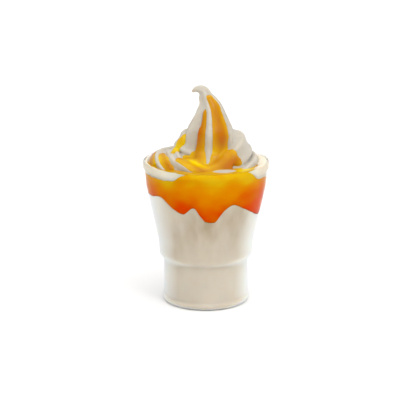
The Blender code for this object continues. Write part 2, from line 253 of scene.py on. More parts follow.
# Sauce that runs down the spire's flutes: the azimuth of its middle, its top and lower end,
# its half-width at each in degrees, and how full of the spire's radius it is at each.
STREAMS = (
    (26.0, 0.1420, 0.0950, 30.0, 20.0, 0.97, 0.92),
    (-22.0, 0.1340, 0.0950, 14.0, 19.0, 0.86, 0.91),
    (-38.0, 0.1030, 0.0930, 28.0, 28.0, 1.02, 1.03),
    (12.0, 0.1075, 0.0985, 5.0, 15.0, 0.95, 1.02),
    (-17.0, 0.1075, 0.0985, 5.0, 16.0, 0.95, 1.02),
)
# Sauce poured over the coil: how full of the rope's radius it is, and its route as
# (x, y, height over the sauce level, reach) in millimetres. The fourth is fuller than the
# part's and its route a little longer, so that the rope's ridge doesn't break it.
POURS = (
    (1.03, ((-16, -19, 3, 6.0), (-8, -24, 3, 8.0), (3, -26, 2, 8.0), (12, -24, 2, 7.0))),
    (1.02, ((-8, -16, 6, 6.0), (2, -17, 6, 5.0))),
    (1.02, ((9, -18, 8, 4.5), (16, -17, 7, 6.0), (19, -15, 4, 5.0))),
    (1.02, ((-14, -4, 19, 3.0), (-17, -5, 15, 4.0), (-21, -6, 9, 4.0))),
    (0.93, ((-37, -11, 2, 5.0), (-37, -5, 3, 5.0), (-36, 3, 5, 4.0))),
    (0.93, ((-25, -24, 1, 4.0), (-29, -14, 6, 4.5), (-29, -7, 8, 3.4))),
)
# Where the sauce looks deeper, or yellower where the change is negative: x, y, height over the
# sauce level and how far it spreads, in millimetres, and the change. Some rows are painted light
# and shade, as marked.
SAUCE_SHADES_AND_PAINTED_LIGHT = (
    (-9, -22, 5, 8.0, -0.50),
    (25, -24, 0, 8.0, -0.40),
    (-18, -5, 13, 8.0, -0.50),
    # Painted shade: the left stream is deeper orange where it lies in shade in its flute.
    (-4, -13, 25, 9.0, 0.22),
    (17, -21, 4, 6.0, 0.40),
    (10, -23, 3, 5.0, 0.25),
    # Painted light: the right stream is yellower low down, where it lies in shade.
    (9, -14, 9, 6.0, -0.40),
    (-28, -14, 5, 7.0, -0.25),
)
# How deep the sauce looks, on the colours' scale of 0 to 1: where it is thinnest, where it is
# FULL_DEPTH thick, and in the pool round the swirl.
FULL_DEPTH = 0.0030
THIN_DEPTH = 0.35
THICK_DEPTH = 0.80
POOL_DEPTH = 0.42
HIDDEN = 0.0007  # how far the sauce's body lies inside the cream where there is no sauce
FILM = 0.0006  # thickness of the sauce on the short rope at the left
STREAM_EDGE = 4.0  # degrees over which a stream thins out at its sides
STREAM_END = 0.004  # height over which it thins out at its top
POUR_EDGE = 0.0012  # distance over which a pour thins out round its edge
POUR_AT = 0.95  # share of a rope's radius at which a pour's reach is measured
SWIRL_FROM = SAUCE_LEVEL - 0.002  # height where the swirl is cut flat, inside the sauce
SWIRL_LUMPS_FROM = 0.003  # height over the sauce where the lumps are whole
# Layers of noise on the cream and at the sauce's edges: height, scale and seed.
LUMPS = ((0.00025, 130.0, 1.0), (0.00008, 480.0, 3.0))
RAGGED = ((0.0010, 150.0, 2.0), (0.0005, 400.0, 5.0))
CREAM_RELAXING = 4
CURL_RELAXING = 14
SAUCE_RELAXING = 5
AROUND = 96
COIL_STEPS = 260
SHORT_STEPS = 40
SPIRE_STEPS = 64
CURL_STEPS = 24
VOXEL = 0.0005
MILLIMETRE = 0.001

# ---------------------------------------------------------------- the stage
FLOOR_RADIUS = 12.0
WORLD_STRENGTH = 0.7
CAMERA_PLACE = (-0.004, -0.868, 0.3003)
CAMERA_DIP = 0.2607  # radians that it looks down
CAMERA_LENS = 120.7
CAMERA_SENSOR = 36.0


# ---------------------------------------------------------------- colours
def srgb(red, green, blue):
    """A linear colour from one given as a screen shows it, 0 to 255."""
    values = []
    for channel in (red, green, blue):
        share = channel / 255
        values.append(share / 12.92 if share <= 0.04045 else ((share + 0.055) / 1.055) ** 2.4)
    return (*values, 1.0)


# Sauce seen through the wall, from its lower edge, 0, to the rim, 1.
WALL_STOPS = (
    (0.00, srgb(227, 69, 0)),
    (0.10, srgb(223, 87, 0)),
    (0.30, srgb(225, 112, 0)),
    (0.47, srgb(227, 134, 0)),
    (0.62, srgb(228, 146, 2)),
    (0.80, srgb(228, 164, 4)),
    (0.94, srgb(229, 182, 16)),
)
# Painted shade: a darker orange blended into the sauce at the wall where the wall turns away from
# the eye.
WALL_PAINTED_SHADE = srgb(184, 112, 0)  # where the wall turns away from the eye
# Sauce over the swirl, from a thin film, 0, to a flute filled to its brim, 1.
POUR_STOPS = (
    (0.00, srgb(230, 200, 4)),
    (0.30, srgb(208, 160, 1)),
    (0.55, srgb(194, 136, 0)),
    (0.80, srgb(180, 110, 0)),
    (1.00, srgb(184, 92, 0)),
)
# Soft serve, from its darker mottles to its paler ones. The same soft serve has three copies: the
# one at the rim is painted lighter, a painted light that lifts the shade on the rim's inside, and
# the swirl's is painted darker, a painted shade against the stronger light it gets above the cup.
FILL_SHADES = (srgb(213, 201, 183), srgb(221, 210, 191))
RIM_SHADES_PAINTED_LIGHTER = (srgb(222, 209, 184), srgb(240, 230, 210))
SWIRL_SHADES_PAINTED_DARKER = (srgb(182, 174, 160), srgb(199, 192, 178))
# Painted reflection: white blended into the soft serve where the clear wall turns away from the
# eye, for the white room the wall reflects there.
FILL_PAINTED_REFLECTION = srgb(255, 255, 250)
# Colour of the stain and the painted shade below the sauce.
STAIN_AND_SHADE_COLOUR = srgb(186, 166, 136)


# ---------------------------------------------------------------- tools
def smooth(share):
    """A share eased in and out between 0 and 1."""
    share = min(max(share, 0.0), 1.0)
    return share * share * (3 - 2 * share)


def smooth_array(share):
    """The same for an array."""
    share = np.clip(share, 0.0, 1.0)
    return share * share * (3 - 2 * share)


def arc(centre_r, centre_z, radius, start, end, count):
    """Points of an outline along an arc, between two angles in degrees."""
    points = []
    for i in range(count + 1):
        angle = math.radians(start + (end - start) * i / count)
        points.append(
            (centre_r + radius * math.cos(angle), centre_z + radius * math.sin(angle))
        )
    return points


def through(stations, at):
    """Values between the rows of a table whose first column is at, along a smooth curve."""
    for i in range(len(stations) - 1):
        if at <= stations[i + 1][0]:
            break
    before = stations[max(i - 1, 0)]
    start, end = stations[i], stations[i + 1]
    after = stations[min(i + 2, len(stations) - 1)]
    span = end[0] - start[0]
    t = (at - start[0]) / span
    values = []
    for k in range(1, len(start)):
        slope_in = (end[k] - before[k]) / (end[0] - before[0]) * span
        slope_out = (after[k] - start[k]) / (after[0] - start[0]) * span
        values.append(
            (2 * t**3 - 3 * t**2 + 1) * start[k]
            + (t**3 - 2 * t**2 + t) * slope_in
            + (3 * t**2 - 2 * t**3) * end[k]
            + (t**3 - t**2) * slope_out
        )
    return values


def make_object(name, points, faces, node, material):
    """A piece that stands for a CAD node, from its points and faces."""
    mesh = bpy.data.meshes.new(name)
    mesh.from_pydata([tuple(p) for p in points], [], faces)
    return adopt(name, mesh, node, material)


def adopt(name, mesh, node, material):
    """Puts a mesh into the scene as a piece that stands for a CAD node."""
    obj = bpy.data.objects.new(name, mesh)
    bpy.context.scene.collection.objects.link(obj)
    mesh.materials.clear()
    mesh.materials.append(material)
    mesh.shade_smooth()
    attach(obj, "root")
    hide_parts(node)
    return obj


def columns_to_mesh(columns):
    """Points and faces of a solid from the columns of points round it."""
    count, rings = len(columns), len(columns[0])
    points = [columns[0][0], columns[0][-1]]
    for column in columns:
        points += column[1:-1]
    inner = rings - 2
    faces = []
    for c in range(count):
        here, there = 2 + c * inner, 2 + (c + 1) % count * inner
        faces.append((0, here, there))
        for i in range(inner - 1):
            faces.append((here + i, here + i + 1, there + i + 1, there + i))
        faces.append((here + inner - 1, 1, there + inner - 1))
    return points, faces


def set_round(outline, azimuth):
    """Points of an outline, given as radius and height, at an azimuth round the cup."""
    turn = math.radians(azimuth)
    return [(r * math.sin(turn), -r * math.cos(turn), z) for r, z in outline]


def turned(outline_at, steps):
    """Columns of points for an outline that runs from axis to axis at each azimuth."""
    azimuths = [360 * c / steps for c in range(steps)]
    return [set_round(outline_at(azimuth), azimuth) for azimuth in azimuths]


def measure(mesh, name, values):
    """Stores a value at each of a mesh's points, for its material to read."""
    layer = mesh.attributes.new(name, "FLOAT", "POINT")
    layer.data.foreach_set("value", np.clip(values, 0, 1).astype(np.float32))


def positions(mesh):
    flat = np.empty(len(mesh.vertices) * 3)
    mesh.vertices.foreach_get("co", flat)
    return flat.reshape(-1, 3)


def set_positions(mesh, points):
    mesh.vertices.foreach_set("co", points.astype(np.float32).ravel())
    mesh.update()


def relaxed(mesh, points, rounds):
    """Points drawn halfway to their neighbours' mean, round after round."""
    ends = np.empty(len(mesh.edges) * 2, dtype=np.int64)
    mesh.edges.foreach_get("vertices", ends)
    a, b = ends[0::2], ends[1::2]
    weight = np.bincount(a, minlength=len(points)) + np.bincount(b, minlength=len(points))
    weight = np.maximum(weight, 1)
    current = points.copy()
    for _ in range(rounds):
        total = np.zeros_like(current)
        for k in range(current.shape[1]):
            total[:, k] = np.bincount(a, current[b, k], len(points))
            total[:, k] += np.bincount(b, current[a, k], len(points))
        current += 0.5 * (total / weight[:, None] - current)
    return current


def vertex_normals(mesh):
    flat = np.empty(len(mesh.vertices) * 3)
    mesh.vertex_normals.foreach_get("vector", flat)
    return flat.reshape(-1, 3)


def noise_at(points, layers):
    """The sum of layers of noise, each (height, scale, seed), at each point."""
    total = np.zeros(len(points))
    for height, scale, seed in layers:
        offset = Vector((seed, seed * 1.7, -seed))
        total += height * np.array([noise.noise(Vector(p) * scale + offset) for p in points])
    return total


# ---------------------------------------------------------------- materials
MIX_UNDER, MIX_OVER, MIX_RESULT = 6, 7, 2  # a Mix node's sockets for colours


def new_material(name):
    """A material, its nodes, its links and its shader."""
    material = bpy.data.materials.new(name)
    material.use_nodes = True
    nodes = material.node_tree.nodes
    shader = nodes["Principled BSDF"]
    return material, nodes, material.node_tree.links, shader


def ramp(nodes, stops):
    """A colour ramp through stops of place and colour."""
    node = nodes.new("ShaderNodeValToRGB")
    elements = node.color_ramp.elements
    while len(elements) < len(stops):
        elements.new(0.5)
    for element, (place, colour) in zip(elements, stops):
        element.position = place
        element.color = colour
    return node


def noise_node(nodes, links, coordinates, scale, detail, stretch=(1, 1, 1)):
    """Noise that is stretched along the axes where stretch is below 1."""
    mapping = nodes.new("ShaderNodeMapping")
    mapping.inputs["Scale"].default_value = stretch
    links.new(coordinates, mapping.inputs["Vector"])
    node = nodes.new("ShaderNodeTexNoise")
    node.inputs["Scale"].default_value = scale
    node.inputs["Detail"].default_value = detail
    links.new(mapping.outputs["Vector"], node.inputs["Vector"])
    return node


def bump(nodes, links, shader, height, strength, distance):
    node = nodes.new("ShaderNodeBump")
    node.inputs["Strength"].default_value = strength
    node.inputs["Distance"].default_value = distance
    links.new(height, node.inputs["Height"])
    links.new(node.outputs["Normal"], shader.inputs["Normal"])


def soft_serve_material(name, shades, crystal, rough):
    """Soft serve: pale cream, faintly mottled, with the fine grain of ice on its surface."""
    material, nodes, links, shader = new_material(name)
    place = nodes.new("ShaderNodeTexCoord").outputs["Object"]
    mottle = noise_node(nodes, links, place, scale=60.0, detail=3.0, stretch=(1, 1, 0.6))
    colour = ramp(nodes, ((0.3, shades[0]), (0.7, shades[1])))
    links.new(mottle.outputs["Fac"], colour.inputs["Fac"])
    links.new(colour.outputs["Color"], shader.inputs["Base Color"])
    grain = noise_node(nodes, links, place, scale=900.0, detail=4.0)
    bump(nodes, links, shader, grain.outputs["Fac"], strength=crystal, distance=0.0002)
    shader.inputs["Roughness"].default_value = rough
    shader.inputs["Subsurface Weight"].default_value = 0.6
    shader.inputs["Subsurface Radius"].default_value = (1.0, 0.75, 0.5)
    shader.inputs["Subsurface Scale"].default_value = 0.003
    shader.inputs["Specular IOR Level"].default_value = 0.4
    return material


def fill_material():
    """Soft serve against the wall: stained and darkened below the sauce, partly a real stain and
    partly painted shade, and paler round the sides with a painted reflection.
    """
    material = soft_serve_material("soft_serve_in_cup", FILL_SHADES, crystal=0.1, rough=0.5)
    nodes, links = material.node_tree.nodes, material.node_tree.links
    shader = nodes["Principled BSDF"]
    cream = shader.inputs["Base Color"].links[0].from_socket
    place = nodes.new("ShaderNodeTexCoord").outputs["Object"]
    attribute = nodes.new("ShaderNodeAttribute")
    attribute.attribute_name = "stain_and_shade"
    runs = noise_node(nodes, links, place, scale=150.0, detail=3.0, stretch=(1, 1, 0.35))
    broken = nodes.new("ShaderNodeMapRange")
    broken.inputs["From Min"].default_value = 0.3
    broken.inputs["From Max"].default_value = 0.65
    broken.inputs["To Min"].default_value = 0.3
    links.new(runs.outputs["Fac"], broken.inputs["Value"])
    amount = nodes.new("ShaderNodeMath")
    amount.operation = "MULTIPLY"
    links.new(attribute.outputs["Fac"], amount.inputs[0])
    links.new(broken.outputs["Result"], amount.inputs[1])
    # Stain of sauce and painted shade below the sauce, broken up by runs of noise.
    stained_and_shaded = blended(nodes, links, cream, STAIN_AND_SHADE_COLOUR, amount.outputs["Value"])
    links.new(stained_and_shaded, shader.inputs["Base Color"])
    # Painted reflection: paler round the sides, for the white room reflected in the clear wall.
    paint_light_at_sides(material, FILL_PAINTED_REFLECTION, low=0.24, high=0.54, share=1.0)
    return material


def paint_light_at_sides(material, over, low, high, share):
    """Paints light at the sides: blends a share of a colour in where the surface turns away from
    the eye, from low to high. The soft serve in the cup gets a painted reflection of the white
    room this way, and the sauce at the wall a painted shade.
    """
    nodes, links = material.node_tree.nodes, material.node_tree.links
    colour = nodes["Principled BSDF"].inputs["Base Color"]
    facing = nodes.new("ShaderNodeLayerWeight")
    facing.inputs["Blend"].default_value = 0.5
    side = nodes.new("ShaderNodeMapRange")
    side.inputs["From Min"].default_value = low
    side.inputs["From Max"].default_value = high
    side.inputs["To Max"].default_value = share
    links.new(facing.outputs["Facing"], side.inputs["Value"])
    under = colour.links[0].from_socket
    links.new(blended(nodes, links, under, over, side.outputs["Result"]), colour)


def blended(nodes, links, under, over, share):
    """A colour with a share of another over it."""
    mix = nodes.new("ShaderNodeMix")
    mix.data_type = "RGBA"
    links.new(share, mix.inputs["Factor"])
    links.new(under, mix.inputs[MIX_UNDER])
    mix.inputs[MIX_OVER].default_value = over
    return mix.outputs[MIX_RESULT]


def mango_material(name, stops, value_name, mottle, flatness, rough, shine, glow):
    """Mango sauce, coloured by a value at each point and mottled by streaks of pulp."""
    material, nodes, links, shader = new_material(name)
    place = nodes.new("ShaderNodeTexCoord").outputs["Object"]
    attribute = nodes.new("ShaderNodeAttribute")
    attribute.attribute_name = value_name
    streaks = noise_node(nodes, links, place, scale=75.0, detail=3.0, stretch=(1, 1, flatness))
    mix = nodes.new("ShaderNodeMath")
    mix.operation = "MULTIPLY_ADD"
    mix.inputs[1].default_value = mottle
    links.new(streaks.outputs["Fac"], mix.inputs[0])
    links.new(attribute.outputs["Fac"], mix.inputs[2])
    spread = 1 + mottle
    colour = ramp(nodes, [((at + 0.5 * mottle) / spread, shade) for at, shade in stops])
    level = nodes.new("ShaderNodeMath")
    level.operation = "DIVIDE"
    level.inputs[1].default_value = spread
    links.new(mix.outputs["Value"], level.inputs[0])
    links.new(level.outputs["Value"], colour.inputs["Fac"])
    links.new(colour.outputs["Color"], shader.inputs["Base Color"])
    pulp = noise_node(nodes, links, place, scale=260.0, detail=3.0)
    bump(nodes, links, shader, pulp.outputs["Fac"], strength=0.15, distance=0.0004)
    shader.inputs["Roughness"].default_value = rough
    shader.inputs["Specular IOR Level"].default_value = shine
    shader.inputs["Subsurface Weight"].default_value = glow
    shader.inputs["Subsurface Radius"].default_value = (1.0, 0.5, 0.1)
    shader.inputs["Subsurface Scale"].default_value = 0.002
    return material


def plastic_material():
    """Thin clear plastic, faintly wavy, with little reflection so that the sauce shows."""
    material, nodes, links, shader = new_material("clear_plastic")
    place = nodes.new("ShaderNodeTexCoord").outputs["Object"]
    waves = noise_node(nodes, links, place, scale=45.0, detail=2.0, stretch=(1, 1, 0.3))
    bump(nodes, links, shader, waves.outputs["Fac"], strength=0.12, distance=0.0006)
    shader.inputs["Base Color"].default_value = (0.97, 0.98, 0.985, 1.0)
    shader.inputs["Roughness"].default_value = 0.03
    shader.inputs["Transmission Weight"].default_value = 1.0
    shader.inputs["IOR"].default_value = 1.12
    shader.inputs["Specular Tint"].default_value = (0.1, 0.1, 0.1, 1.0)
    return material


def floor_material():
    material, _, _, shader = new_material("pale_floor")
    shader.inputs["Base Color"].default_value = (0.93, 0.93, 0.93, 1.0)
    shader.inputs["Roughness"].default_value = 0.6
    return material


plastic = plastic_material()
fill_cream = fill_material()
# Painted light: the rim's copy of the soft serve is lighter.
rim_cream = soft_serve_material("soft_serve_at_rim", RIM_SHADES_PAINTED_LIGHTER, crystal=0.1, rough=0.5)
# Painted shade: the swirl's copy of the soft serve is darker.
swirl_cream = soft_serve_material("soft_serve", SWIRL_SHADES_PAINTED_DARKER, crystal=0.3, rough=0.45)
mango = mango_material(
    "mango_sauce", POUR_STOPS, "depth", mottle=0.6, flatness=0.5, rough=0.12, shine=0.13, glow=0.3
)
wall_mango = mango_material(
    "mango_sauce_at_wall", WALL_STOPS, "rise", mottle=0.8, flatness=1.5, rough=0.3, shine=0.0,
    glow=0.2,
)
# Painted shade: the sauce at the wall is darker where the wall turns away from the eye.
paint_light_at_sides(wall_mango, WALL_PAINTED_SHADE, low=0.5, high=0.7, share=0.8)


# ---------------------------------------------------------------- the cup
def wall_radius(z):
    """Radius of the cup's outside over its foot, with sharp corners."""
    for (low, inner), (high, outer) in zip(OUTLINE, OUTLINE[1:]):
        if z < high:
            share = max((z - low) / (high - low), 0.0)
            return inner + (outer - inner) * share
    return OUTLINE[-1][1]


def eased_radius(z):
    """The wall's radius with its corners rounded."""
    steps = CORNER_SAMPLES - 1
    total = sum(wall_radius(z + CORNER_REACH * (2 * i / steps - 1)) for i in range(steps + 1))
    return total / CORNER_SAMPLES


def foot_arc(radius, inset, count):
    """The foot's rounding, inset from the cup's outside, from the wall down to the floor."""
    centre_r = FOOT_RADIUS - FOOT_ROUND
    start = math.degrees(math.acos((BASE_RADIUS - inset - centre_r) / radius))
    return arc(centre_r, FOOT_ROUND, radius, start, -90, count)


def wall_heights():
    """Heights up the wall, closer together at its corners."""
    rise = RIM_UNDERSIDE - SIDE_FROM
    heights = {SIDE_FROM + rise * i / CUP_RINGS for i in range(CUP_RINGS + 1)}
    for corner, _ in OUTLINE:
        for k in range(-CORNER_RINGS, CORNER_RINGS + 1):
            z = corner + k * CORNER_SPACING
            if SIDE_FROM < z < RIM_UNDERSIDE:
                heights.add(z)
    return sorted(heights)


def build_cup():
    heights = wall_heights()
    floor = WALL + PUNT_RISE
    inner = [(0.0, floor), (PUNT_RADIUS * 0.5, floor), (PUNT_RADIUS, floor), (RING_INNER, WALL)]
    inner += reversed(foot_arc(FOOT_ROUND - WALL, inset=WALL, count=10))
    inner += [(eased_radius(z) - WALL, z) for z in heights]
    rim_round = RIM_WIDTH / 2
    rim_middle = RIM_RADIUS - rim_round
    rim = arc(rim_middle, CUP_HEIGHT - rim_round, rim_round, start=180, end=0, count=12)
    rim += arc(rim_middle, RIM_UNDERSIDE + rim_round, rim_round, start=0, end=-90, count=6)
    outer = [(eased_radius(z), z) for z in reversed(heights)]
    outer += foot_arc(FOOT_ROUND, inset=0.0, count=12)
    outer += [(RING_INNER, 0.0), (PUNT_RADIUS, PUNT_RISE), (PUNT_RADIUS * 0.5, PUNT_RISE)]
    outer += [(0.0, PUNT_RISE)]
    outline = inner + rim + outer
    points, faces = columns_to_mesh(turned(lambda azimuth: outline, CUP_AROUND))
    make_object("clear_cup", points, faces, "cup", plastic)


# ---------------------------------------------------------------- the filling
def drip_height(azimuth):
    first = DRIPS[0][0]
    return through(DRIPS, first + (azimuth - first) % 360)[0]


def wavy(azimuth, scale, seed):
    """Noise round the cup, without a seam."""
    turn = math.radians(azimuth)
    return noise.noise(Vector((math.sin(turn) * scale, math.cos(turn) * scale, seed)))


def drip_edge(azimuth):
    """The sauce's lower edge on the wall, wandering a little from its drips."""
    edge = drip_height(azimuth)
    for height, scale, seed in DRIP_WANDER:
        edge += height * wavy(azimuth, scale, seed)
    return edge


def contact_radius(z):
    """Radius of what touches the wall from inside, a little way into it."""
    return eased_radius(z) - WALL + INTO_WALL


def face_points(azimuth, lift):
    """The sauce's lower face lifted by so much, from the axis to the wall."""
    edge = drip_edge(azimuth)
    reach = contact_radius(edge)
    middle = SAUCE_LEVEL - SAUCE_MIDDLE
    points = []
    for inset in (reach, *FACE_INSETS):
        share = min(inset / CURTAIN, 1.0)
        z = edge + (middle - edge) * share**CURTAIN_BULGE
        r = reach - inset
        grow = contact_radius(z) / reach
        points.append((r * (1 + (grow - 1) * smooth(r / reach * 2 - 1)), z + lift))
    return points


def fill_outline(azimuth):
    """The soft serve's section, from the axis under the sauce, down the wall and back below."""
    top = drip_edge(azimuth) + OVERLAP
    points = face_points(azimuth, OVERLAP)
    for i in range(1, FILL_RINGS + 1):
        z = top + (SIDE_FROM - top) * i / FILL_RINGS
        points.append((contact_radius(z), z))
    floor = WALL - INTO_WALL
    points += foot_arc(FOOT_ROUND - WALL + INTO_WALL, inset=floor, count=8)
    points += [(RING_INNER, floor), (PUNT_RADIUS, floor + PUNT_RISE), (0.0, floor + PUNT_RISE)]
    return points


def sauce_outline(azimuth):
    """The sauce's section, from the axis over its top, down the wall and back below."""
    turn = math.radians(azimuth)
    edge = drip_edge(azimuth)
    reach = contact_radius(SAUCE_LEVEL)
    points = []
    for i in range(SAUCE_TOP_RINGS + 1):
        r = reach * i / SAUCE_TOP_RINGS
        lip = SAUCE_LIP * smooth((r / reach - LIP_FROM) / (1 - LIP_FROM))
        place = (r * math.sin(turn) * RIPPLE_SCALE, r * math.cos(turn) * RIPPLE_SCALE, RIPPLE_SEED)
        ripple = RIPPLE * noise.noise(Vector(place))
        points.append((r, SAUCE_LEVEL + lip + ripple))
    top = points[-1][1]
    for i in range(1, SAUCE_SIDE_RINGS):
        z = top + (edge - top) * i / SAUCE_SIDE_RINGS
        points.append((contact_radius(z), z))
    points += reversed(face_points(azimuth, 0.0))
    return points


def azimuths_of(places):
    return np.degrees(np.arctan2(places[:, 0], -places[:, 1]))


def build_fill():
    points, faces = columns_to_mesh(turned(fill_outline, FILL_AROUND))
    fill = make_object(
        "soft_serve_in_cup", points, faces, "soft_serve_fill", fill_cream
    )
    places = positions(fill.data)
    azimuths = azimuths_of(places)
    # How much stain and painted shade lies at each point of the fill.
    stain_and_shade = np.zeros(len(places))
    for azimuth, height, wide, high, amount in STAINS_AND_PAINTED_SHADE:
        away = ((azimuths - azimuth) / wide) ** 2 + ((places[:, 2] - height) / high) ** 2
        stain_and_shade = np.maximum(stain_and_shade, amount * np.exp(-away))
    measure(fill.data, "stain_and_shade", stain_and_shade)


def build_sauce():
    points, faces = columns_to_mesh(turned(sauce_outline, SAUCE_AROUND))
    layer = make_object("mango_layer", points, faces, "mango_sauce", mango)
    places = positions(layer.data)
    heights, azimuths = places[:, 2], azimuths_of(places)
    edges = np.array([drip_height(azimuth) for azimuth in azimuths])
    foot = EDGE_SHARE * edges + (1 - EDGE_SHARE) * MIDDLING_EDGE
    rise = (heights - foot) / (SAUCE_LEVEL - foot)
    for azimuth, height, wide, high, change in WALL_SHADES:
        away = ((azimuths - azimuth) / wide) ** 2 + ((heights - height) / high) ** 2
        rise += change * np.exp(-away)
    measure(layer.data, "rise", rise)
    measure(layer.data, "depth", POOL_DEPTH + sauce_shades_and_light_at(places))
    layer.data.materials.append(wall_mango)
    # The top keeps the colours of the sauce that is poured over the swirl.
    for polygon in layer.data.polygons:
        if polygon.normal.z < 0.5:
            polygon.material_index = 1


# ---------------------------------------------------------------- cream beside the sauce
def rim_cream_outline(share, azimuth):
    """Cream pressed against the rim, thinning out towards the ends of its arc."""
    swell = smooth(min(share, 1 - share) / RIM_CREAM_END)
    waves = 0.5 + 0.5 * wavy(azimuth, *RIM_CREAM_WAVES)
    wide = math.exp(-(((azimuth - RIM_CREAM_WIDE) / RIM_CREAM_SPREAD) ** 2))
    width = RIM_CREAM_WIDTH * (1 + RIM_CREAM_WIDER * wide) * swell * (0.7 + 0.6 * waves)
    width += RIM_CREAM_THIN
    drop = RIM_CREAM_DROP * swell * (0.85 + 0.3 * waves) * (1 + 0.5 * wide) + RIM_CREAM_THIN
    top = RIM_CREAM_TOP + RIM_CREAM_CREST * waves * swell - RIM_CREAM_DIVE * (1 - swell) ** 2
    rim = contact_radius(RIM_CREAM_TOP) + RIM_CREAM_PROUD
    outline = [
        (rim - width, top - 0.6 * drop),
        (rim - 0.9 * width, top - min(RIM_CREAM_SHOULDER, 0.3 * drop)),
        (rim - 0.6 * width, top),
        (rim - 0.2 * width, top + 0.5 * RIM_CREAM_EDGE),
        (rim, top - min(RIM_CREAM_EDGE, 0.2 * drop)),
    ]
    for z in (top - 0.3 * drop, top - 0.65 * drop, top - drop):
        outline.append((contact_radius(z) + RIM_CREAM_PROUD, z))
    outline.append((contact_radius(top - drop) - 0.3 * width, top - drop))
    return outline


def build_rim_cream():
    points, faces = [], []
    for i in range(RIM_CREAM_STEPS + 1):
        share = i / RIM_CREAM_STEPS
        azimuth = RIM_CREAM_FROM + (RIM_CREAM_TO - RIM_CREAM_FROM) * share
        points += set_round(rim_cream_outline(share, azimuth), azimuth)
    size = len(points) // (RIM_CREAM_STEPS + 1)
    for i in range(RIM_CREAM_STEPS):
        here, there = i * size, (i + 1) * size
        for j in range(size):
            k = (j + 1) % size
            faces.append((here + j, here + k, there + k, there + j))
    faces.append(tuple(reversed(range(size))))
    faces.append(tuple(range(RIM_CREAM_STEPS * size, RIM_CREAM_STEPS * size + size)))
    make_object("cream_at_rim", points, faces, "mango_sauce", rim_cream)


# ---------------------------------------------------------------- the swirl
def star(degrees, depth):
    """Radius of the nozzle's star, 1 on its ridges, of which one is at 0 degrees."""
    ridge = (0.5 + 0.5 * np.cos(np.radians(LOBES * degrees))) ** RIDGE_SHARPNESS
    return 1 - depth * (1 - ridge)


def coil_stations():
    """Centres, radii, ridge angles and flute depths along the coil, and where angle 0 is."""
    centres, radii, phases, depths = [], [], [], []
    for i in range(COIL_STEPS + 1):
        angle = COIL[0][0] + (COIL[-1][0] - COIL[0][0]) * i / COIL_STEPS
        distance, height, radius = through(COIL, angle)
        turn = math.radians(angle)
        centres.append((distance * math.cos(turn), distance * math.sin(turn), height))
        radii.append(radius)
        phases.append(through(COIL_PHASES, angle)[0])
        depths.append(through(COIL_FLUTES, angle)[0])
    return np.array(centres), np.array(radii), np.array(phases), np.array(depths), (0, 0, 1)


def spire_stations():
    """The same up the spire and round its bent tip."""
    lowest, highest = SPIRE[0][0], SPIRE[-1][0]
    centres, radii = [], []
    for i in range(SPIRE_STEPS + 1):
        height = lowest + (highest - lowest) * i / SPIRE_STEPS
        radius, offset = through(SPIRE, height)
        centres.append((offset, 0, height))
        radii.append(radius)
    neck, neck_radius = np.array(centres[-1]), radii[-1]
    for i in range(1, CURL_STEPS + 1):
        share = i / CURL_STEPS
        angle = math.radians(CURL_SWEEP * share)
        aside = CURL_RADIUS * (1 - math.cos(angle))
        above = CURL_RADIUS * math.sin(angle)
        centres.append(neck + (-aside, 0, above))
        radii.append(neck_radius + (CURL_TIP_RADIUS - neck_radius) * share)
    same = np.ones(len(radii))
    return np.array(centres), np.array(radii), SPIRE_PHASE * same, FLUTE_DEPTH * same, (0, -1, 0)


def short_stations(table):
    """The same along a short rope."""
    rows = [(i, *row) for i, row in enumerate(table)]
    places = [through(rows, (len(table) - 1) * i / SHORT_STEPS) for i in range(SHORT_STEPS + 1)]
    values = np.array(places) * MILLIMETRE
    same = np.ones(len(values))
    return values[:, :3], values[:, 3], 0 * same, SHORT_FLUTES * same, (0, 0, 1)


def cross_directions(centres, reference):
    """Two unit vectors across a path at each centre: along the reference, and square to it."""
    along = np.gradient(centres, axis=0)
    along /= np.linalg.norm(along, axis=1)[:, None]
    first = np.array(reference) - along * (along @ np.array(reference))[:, None]
    first /= np.linalg.norm(first, axis=1)[:, None]
    return first, np.cross(along, first)


def tube(stations, radius_at):
    """A closed tube whose radius comes from radius_at, at each centre and angle."""
    centres, radii, phases, depths, reference = stations
    first, second = cross_directions(centres, reference)
    angles = np.arange(AROUND) * 360 / AROUND
    cos, sin = np.cos(np.radians(angles)), np.sin(np.radians(angles))
    out = first[:, None, :] * cos[None, :, None] + second[:, None, :] * sin[None, :, None]
    cream = radii[:, None] * star(angles[None, :] - phases[:, None], depths[:, None])
    radius = radius_at(centres, radii, cream, angles, out)
    points = centres[:, None, :] + out * radius[:, :, None]
    ends = [points[0].mean(0), points[-1].mean(0)]
    flat = np.concatenate([points.reshape(-1, 3), ends])
    last = (len(centres) - 1) * AROUND
    first_end, last_end = last + AROUND, last + AROUND + 1
    faces = []
    for here in range(0, last, AROUND):
        there = here + AROUND
        for j in range(AROUND):
            k = (j + 1) % AROUND
            faces.append((here + j, here + k, there + k, there + j))
    for j in range(AROUND):
        k = (j + 1) % AROUND
        faces.append((first_end, k, j))
        faces.append((last + j, last + k, last_end))
    return flat, faces


def fused(tubes):
    """One closed mesh round overlapping tubes."""
    points, faces = [], []
    for part_points, part_faces in tubes:
        offset = len(points)
        points += [tuple(p) for p in part_points]
        faces += [[offset + i for i in face] for face in part_faces]
    mesh = bpy.data.meshes.new("fuse")
    mesh.from_pydata(points, [], faces)
    obj = bpy.data.objects.new("fuse", mesh)
    bpy.context.scene.collection.objects.link(obj)
    remesh = obj.modifiers.new("fuse", "REMESH")
    remesh.mode = "VOXEL"
    remesh.voxel_size = VOXEL
    graph = bpy.context.evaluated_depsgraph_get()
    result = bpy.data.meshes.new_from_object(obj.evaluated_get(graph))
    bpy.data.objects.remove(obj)
    return result


